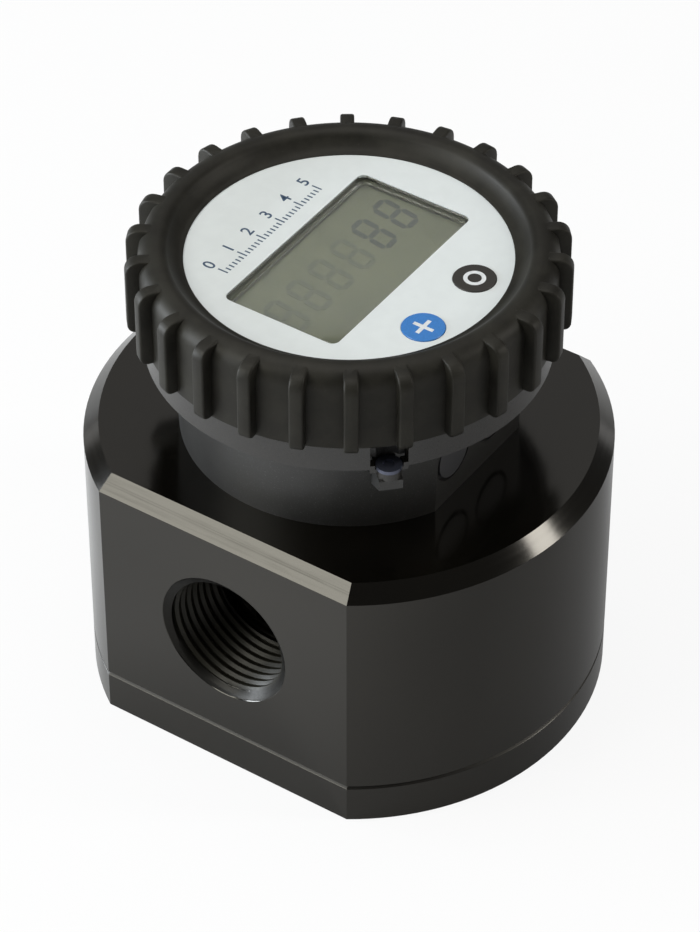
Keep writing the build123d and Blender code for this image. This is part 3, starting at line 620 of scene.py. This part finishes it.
def threadFinish(t):
    m = Mat("threadAnodised", (0.02, 0.019, 0.015), 0.3, Specular_IOR_Level=0.22, Specular_Tint=(1, 0.96, 0.88, 1))
    x, y, z = m.xyz()
    onCone = x.abs().step((t["coneStart"] - 0.4) * mm, t["coneStart"] * mm)
    grain = m.noise(1500, 2, 0.5)
    m.put("Base Color", m.mix(onCone, (0.014, 0.013, 0.0095), (0.002, 0.0018, 0.0013)))
    m.put("Roughness", 0.34 + grain * 0.12)
    m.bump(grain, 0.000004, 0.4)
    return m


def displayGlass():
    m = Mat("displayGlass", (0.12, 0.125, 0.07), 0.3)
    blotch = m.noise(120, 4, 0.6)
    grain = m.noise(1500, 2, 0.5)
    m.put("Base Color", m.mix(blotch.step(0.35, 0.7), (0.128, 0.134, 0.076), (0.108, 0.114, 0.064)))
    m.put("Roughness", 0.26 + grain * 0.06)
    return m


blackAnodised = anodised(anodising)
threadMat = threadFinish(thread)
bootMat = rubber()
steelMat = steel("turnedSteel", (0.55, 0.54, 0.52), 0.28)
screwMat = steel("screwSteel", (0.13, 0.14, 0.19), 0.3)
screwMat.put("Metallic", 0.8)
markMat = plain("printBlue", (0.045, 0.085, 0.15), 0.4, 900, 0.000002)
paleMat = plain("printWhite", (0.8, 0.82, 0.83), 0.4, 900, 0.000002)
ghostMat = plain("segmentGhost", (0.095, 0.102, 0.066), 0.35, 1500, 0.000001)
segmentMat = plain("segmentDark", (0.048, 0.055, 0.044), 0.35, 1500, 0.000001)
bodyMoulding = moulding("baseMoulding", (0.012, 0.0115, 0.010), (0.022, 0.021, 0.019), (0.10, 0.10, 0.10), 0.41)
bezelMoulding = moulding("bezelMoulding", (0.008, 0.0065, 0.005), (0.012, 0.0105, 0.0085), (0.04, 0.037, 0.032), 0.3)
plugMoulding = moulding("plugMoulding", (0.03, 0.03, 0.032), (0.04, 0.04, 0.043), (0.08, 0.08, 0.085), 0.42)
plateMat = plain("plateWhite", (0.77, 0.81, 0.805), 0.3, 260, 0.000002, 0.03)
lensMat = Mat("lensClear", (0.93, 0.95, 0.93), 0.03, Transmission_Weight=1.0, IOR=1.45)
glassMat = displayGlass()
blueMat = plain("buttonBlue", (0.04, 0.21, 0.58), 0.3)
darkMat = plain("buttonDark", (0.022, 0.019, 0.015), 0.4)

dress(["meter_body", "end_cap"], blackAnodised)
dress(["cap_screws", "cap_dowels", "rotor_shaft_a", "rotor_shaft_b", "register_screws", "board_screws"], steelMat)
dress(["bezel_screws"], screwMat)
dress(["rotor_a", "rotor_b"], plain("rotorPolymer", (0.62, 0.58, 0.50), 0.45))
dress(["rotor_magnets"], steel("magnetPlating", (0.62, 0.60, 0.56), 0.2))
dress(["rotor_bushes_a", "rotor_bushes_b", "thrust_washers"], plain("bushCarbon", (0.03, 0.03, 0.032), 0.4))
# painted reflection: the gasket takes the display's olive, so the lens edge seems to carry the lit display
dress(["lens_seal"], plain("gasketPaintedReflection", (0.115, 0.117, 0.08), 0.55, 1500, 0.000002))
sealNodes = ["cap_seal", "register_seal", "bezel_seal", "contact_strips"]
dress(sealNodes, plain("sealRubber", (0.018, 0.018, 0.018), 0.6))
dress(["register_base"], bodyMoulding)
dress(["conduit_plugs"], plugMoulding)
dress(["bezel_ring"], bezelMoulding)
dress(["face_plate"], plateMat)
dress(["display_lens"], lensMat)
dress(["lcd_panel"], glassMat)
dress(["lcd_frame", "battery_holder", "key_switches"], plain("insidePlastic", (0.05, 0.05, 0.05), 0.45))
dress(["program_button"], blueMat)
dress(["select_button"], darkMat)
dress(["circuit_board"], plain("boardLaminate", (0.02, 0.16, 0.07), 0.35, 600))
dress(["board_chips"], plain("chipBlack", (0.02, 0.02, 0.022), 0.45))
dress(["terminal_block"], plain("terminalGreen", (0.03, 0.22, 0.12), 0.4))
dress(["battery_cells"], plain("cellSleeve", (0.45, 0.32, 0.08), 0.3))
dress(["battery_contacts"], steel("contactMetal", (0.7, 0.66, 0.55), 0.25))
dress(["sensor_capsule", "sensor_lead"], plain("sensorGrey", (0.09, 0.09, 0.095), 0.4))
print("materials made")

addBoot(boot, bootMat)
print("boot made")
portHeight = frame["record"]["mounts"][0]["pos_m"][2]
addThread(thread, -1, portHeight, threadMat)
addThread(thread, 1, portHeight, threadMat)
print("threads made")

# Lens: a clear pane on a flange, clear of the gasket by a hair
pane = {"bottom": 111.43, "ledge": 113.05, "top": 114.62, "step": 0.98, "corner": 1.4, "edge": 0.12}


def addPane(p, mat):
    (left, front, _), (right, back, _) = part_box("display_lens")
    left, front, right, back = (v / mm for v in (left, front, right, back))
    r = p["corner"]
    centres = [(right - r, back - r), (left + r, back - r), (left + r, front + r), (right - r, front + r)]
    points = [q for i, centre in enumerate(centres) for q in arc(centre, r, 90 * i, 90 * i + 90, 6)]
    piece = outlineLoop("pane", [(u * mm, v * mm, p["bottom"] * mm) for u, v in points])
    bpy.ops.object.mode_set(mode="EDIT")
    bpy.ops.mesh.select_all(action="SELECT")
    bpy.ops.mesh.extrude_region_move(TRANSFORM_OT_translate={"value": (0, 0, (p["ledge"] - p["bottom"]) * mm)})
    bpy.ops.mesh.inset(thickness=p["step"] * mm)
    bpy.ops.mesh.extrude_region_move(TRANSFORM_OT_translate={"value": (0, 0, (p["top"] - p["ledge"]) * mm)})
    bpy.ops.mesh.bevel(offset=p["edge"] * mm, segments=2, affect="EDGES")
    bpy.ops.mesh.select_all(action="SELECT")
    bpy.ops.mesh.normals_make_consistent(inside=False)
    bpy.ops.object.mode_set(mode="OBJECT")
    finishPiece(piece, "lensPane", "root", mat, 35)
    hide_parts("display_lens")


addPane(pane, lensMat)
print("lens made")

# Display digits: six places of seven segments under the lens, the last two switched on
digits = {
    "places": 6,
    "lastAt": (20.0, 1.2),
    "pitch": 8.4,
    "size": (5.6, 11.3),
    "stroke": 1.35,
    "gap": 0.14,
    "lean": 0.14,
    "thick": 0.03,
    "bottom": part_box("lcd_panel")[1][2] / mm + 0.005,
}


def segment(d, at, middle, half, upright):
    # one bar with pointed ends; d["lean"] slants it
    edge = d["stroke"] / 2
    reach = half - d["gap"]
    bar = [(-reach, 0), (edge - reach, edge), (reach - edge, edge)]
    bar += [(-u, -v) for u, v in bar]
    points = [(v, u) if upright else (u, v) for u, v in bar]
    points = [(middle[0] + u, middle[1] + v) for u, v in points]
    x, y = at
    points = [((x + u + d["lean"] * v) * mm, (y + v) * mm, d["bottom"] * mm) for u, v in points]
    piece = outlineLoop("segment", points)
    thicken(piece, (0, 0, d["thick"] * mm))
    return piece


def addDigits(d, places, name, mat):
    wide, high = ((s - d["stroke"]) / 2 for s in d["size"])
    bars = []
    for place in places:
        at = (d["lastAt"][0] - place * d["pitch"], d["lastAt"][1])
        bars += [segment(d, at, (0, v), wide, False) for v in (-high, 0, high)]
        bars += [segment(d, at, (u, v), high / 2, True) for u in (-wide, wide) for v in (-high / 2, high / 2)]
    return finishPiece(joinAll(bars), name, "root", mat, 0)


addDigits(digits, range(2), "litDigits", segmentMat)
addDigits(digits, range(2, digits["places"]), "restingDigits", ghostMat)
print("digits made")

# Symbols on the buttons: a plus sign and a ring
symbol = {"reach": 2.5, "stroke": 0.95, "thick": 0.03}


def buttonTop(node):
    low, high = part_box(node)
    return (low[0] + high[0]) / 2, (low[1] + high[1]) / 2, high[2]


def addPlus(f, node, body, mat):
    x, y, z = buttonTop(node)
    reach, half = f["reach"] * mm, f["stroke"] / 2 * mm
    arm = [(half, half), (half, reach), (-half, reach)]
    points = [(u * c - v * s, u * s + v * c) for c, s in ((1, 0), (0, 1), (-1, 0), (0, -1)) for u, v in arm]
    piece = outlineLoop("plus", [(x + u, y + v, z - f["thick"] * mm / 2) for u, v in points])
    thicken(piece, (0, 0, f["thick"] * mm))
    return finishPiece(piece, "plusSymbol", body, mat, 0)


def addRing(f, node, body, mat):
    x, y, z = buttonTop(node)
    outer, inner, half = f["reach"] * mm, (f["reach"] - f["stroke"]) * mm, f["thick"] * mm / 2
    ring = outlineLoop("ring", [(inner, 0, -half), (outer, 0, -half), (outer, 0, half), (inner, 0, half)])
    spinRound(ring, 48)
    ring.location = (x, y, z)
    return finishPiece(ring, "ringSymbol", body, mat, 30)


addPlus(symbol, "program_button", "program_key", paleMat)
addRing(symbol, "select_button", "select_key", paleMat)

# Printed scale on the plate: ticks and plain numbers beside the window
scale = {
    "from": -20.0,
    "to": 16.0,
    "ticks": 31,
    "every": 6,  # ticks from one number to the next
    "foot": 18.2,
    "long": 2.6,
    "short": 1.4,
    "wide": 0.4,
    "thick": 0.02,
    "bold": 0.05,
    "numberSize": 4.2,
    "numberFoot": 21.8,
}


def addScale(c, mat):
    z = (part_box("face_plate")[1][2] / mm - c["thick"] / 2) * mm
    marks = []
    for i in range(c["ticks"]):
        x = c["from"] + (c["to"] - c["from"]) * i / (c["ticks"] - 1)
        major = i % c["every"] == 0
        top = c["foot"] + (c["long"] if major else c["short"])
        half = c["wide"] / 2
        corners = [(x - half, c["foot"]), (x + half, c["foot"]), (x + half, top), (x - half, top)]
        tick = outlineLoop("tick", [(u * mm, v * mm, z) for u, v in corners])
        thicken(tick, (0, 0, c["thick"] * mm))
        marks.append(tick)
        if major:
            bpy.ops.object.text_add(location=(x * mm, c["numberFoot"] * mm, z))
            number = bpy.context.object
            number.data.body = str(i // c["every"])
            number.data.align_x = "CENTER"
            number.data.size = c["numberSize"] * mm
            number.data.extrude = c["thick"] * mm
            number.data.offset = c["bold"] * mm
            number.data.resolution_u = 6
            bpy.ops.object.convert(target="MESH")
            bpy.ops.object.transform_apply(location=True)
            marks.append(number)
    return finishPiece(joinAll(marks), "plateScale", "root", mat, 0)


addScale(scale, markMat)
print("symbols and scale made")
